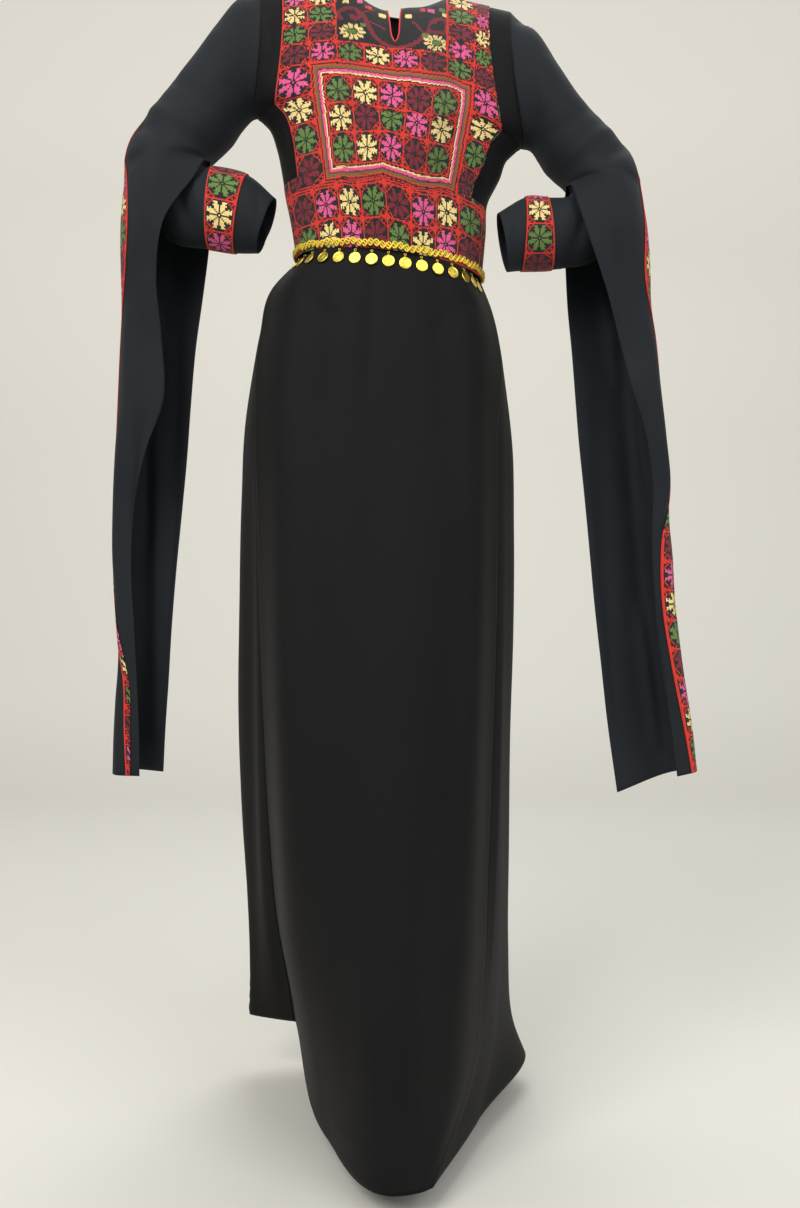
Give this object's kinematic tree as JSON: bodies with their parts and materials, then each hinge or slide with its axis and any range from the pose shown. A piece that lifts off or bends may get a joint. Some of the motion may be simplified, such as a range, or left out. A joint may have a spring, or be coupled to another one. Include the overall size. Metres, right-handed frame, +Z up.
{
  "type": "dress",
  "caption": "Long black dress with a cross-stitched chest panel and waist band, slit wing sleeves over forearm sleeves, and a braid with hanging coins.",
  "frame": {"origin": "middle of the body at shoulder level, where the shoulders carry the dress", "axes": "+Z up, -Y the way the front faces, +X to the right in the picture"},
  "size_m": [0.8045, 0.4674, 1.5483],
  "materials": {
    "black_cloth": "matt crepe",
    "embroidery": "cross-stitch in cotton thread",
    "gold_thread": "crocheted metallic thread",
    "gold_metal": "polished, stamped"
  },
  "bodies": {
    "dress": {"bodice_front": "black_cloth", "bodice_back": "black_cloth", "skirt_front": "black_cloth", "skirt_back": "black_cloth", "sleeve_left": "black_cloth", "sleeve_right": "black_cloth", "forearm_left": "black_cloth", "forearm_right": "black_cloth", "chest_panel": "embroidery", "waist_band": "embroidery", "cuff_band_left": "embroidery", "cuff_band_right": "embroidery", "wing_strip_left": "embroidery", "wing_strip_right": "embroidery", "belt_braid": "gold_thread"},
    "coin_01": {"coin_01": "gold_metal"},
    "coin_02": {"coin_02": "gold_metal"},
    "coin_03": {"coin_03": "gold_metal"},
    "coin_04": {"coin_04": "gold_metal"},
    "coin_05": {"coin_05": "gold_metal"},
    "coin_06": {"coin_06": "gold_metal"},
    "coin_07": {"coin_07": "gold_metal"},
    "coin_08": {"coin_08": "gold_metal"},
    "coin_09": {"coin_09": "gold_metal"},
    "coin_10": {"coin_10": "gold_metal"},
    "coin_11": {"coin_11": "gold_metal"},
    "coin_12": {"coin_12": "gold_metal"},
    "coin_13": {"coin_13": "gold_metal"},
    "coin_14": {"coin_14": "gold_metal"},
    "coin_15": {"coin_15": "gold_metal"}
  },
  "joints": [
    {"name": "coin_01_swing", "type": "hinge", "parent": "dress", "child": "coin_01", "pos_m": [-0.12091, -0.02749, -0.35413], "axis": [-0.358, 0.9337, 0], "range_deg": [0, 40]},
    {"name": "coin_02_swing", "type": "hinge", "parent": "dress", "child": "coin_02", "pos_m": [-0.11237, -0.04745, -0.35507], "axis": [-0.4193, 0.9078, 0], "range_deg": [0, 40]},
    {"name": "coin_03_swing", "type": "hinge", "parent": "dress", "child": "coin_03", "pos_m": [-0.10072, -0.0663, -0.35631], "axis": [-0.6187, 0.7856, 0], "range_deg": [0, 40]},
    {"name": "coin_04_swing", "type": "hinge", "parent": "dress", "child": "coin_04", "pos_m": [-0.08414, -0.08097, -0.35809], "axis": [-0.833, 0.5532, 0], "range_deg": [0, 40]},
    {"name": "coin_05_swing", "type": "hinge", "parent": "dress", "child": "coin_05", "pos_m": [-0.06461, -0.09074, -0.36025], "axis": [-0.9296, 0.3686, 0], "range_deg": [0, 40]},
    {"name": "coin_06_swing", "type": "hinge", "parent": "dress", "child": "coin_06", "pos_m": [-0.04387, -0.097, -0.36258], "axis": [-0.9729, 0.2311, 0], "range_deg": [0, 40]},
    {"name": "coin_07_swing", "type": "hinge", "parent": "dress", "child": "coin_07", "pos_m": [-0.02259, -0.10061, -0.36499], "axis": [-0.9934, 0.1151, 0], "range_deg": [0, 40]},
    {"name": "coin_08_swing", "type": "hinge", "parent": "dress", "child": "coin_08", "pos_m": [-0.00105, -0.10185, -0.36742], "axis": [-1, 0.0006, 0], "range_deg": [0, 40]},
    {"name": "coin_09_swing", "type": "hinge", "parent": "dress", "child": "coin_09", "pos_m": [0.02047, -0.10049, -0.36986], "axis": [-0.9935, -0.1135, 0], "range_deg": [0, 40]},
    {"name": "coin_10_swing", "type": "hinge", "parent": "dress", "child": "coin_10", "pos_m": [0.04172, -0.09679, -0.37227], "axis": [-0.9735, -0.2287, 0], "range_deg": [0, 40]},
    {"name": "coin_11_swing", "type": "hinge", "parent": "dress", "child": "coin_11", "pos_m": [0.06237, -0.09046, -0.3746], "axis": [-0.9307, -0.3657, 0], "range_deg": [0, 40]},
    {"name": "coin_12_swing", "type": "hinge", "parent": "dress", "child": "coin_12", "pos_m": [0.08172, -0.08059, -0.37676], "axis": [-0.8344, -0.5512, 0], "range_deg": [0, 40]},
    {"name": "coin_13_swing", "type": "hinge", "parent": "dress", "child": "coin_13", "pos_m": [0.09786, -0.06585, -0.37854], "axis": [-0.6175, -0.7866, 0], "range_deg": [0, 40]},
    {"name": "coin_14_swing", "type": "hinge", "parent": "dress", "child": "coin_14", "pos_m": [0.10904, -0.04703, -0.37978], "axis": [-0.4131, -0.9107, 0], "range_deg": [0, 40]},
    {"name": "coin_15_swing", "type": "hinge", "parent": "dress", "child": "coin_15", "pos_m": [0.1172, -0.02701, -0.3807], "axis": [-0.3499, -0.9368, 0], "range_deg": [0, 40]}
  ]
}
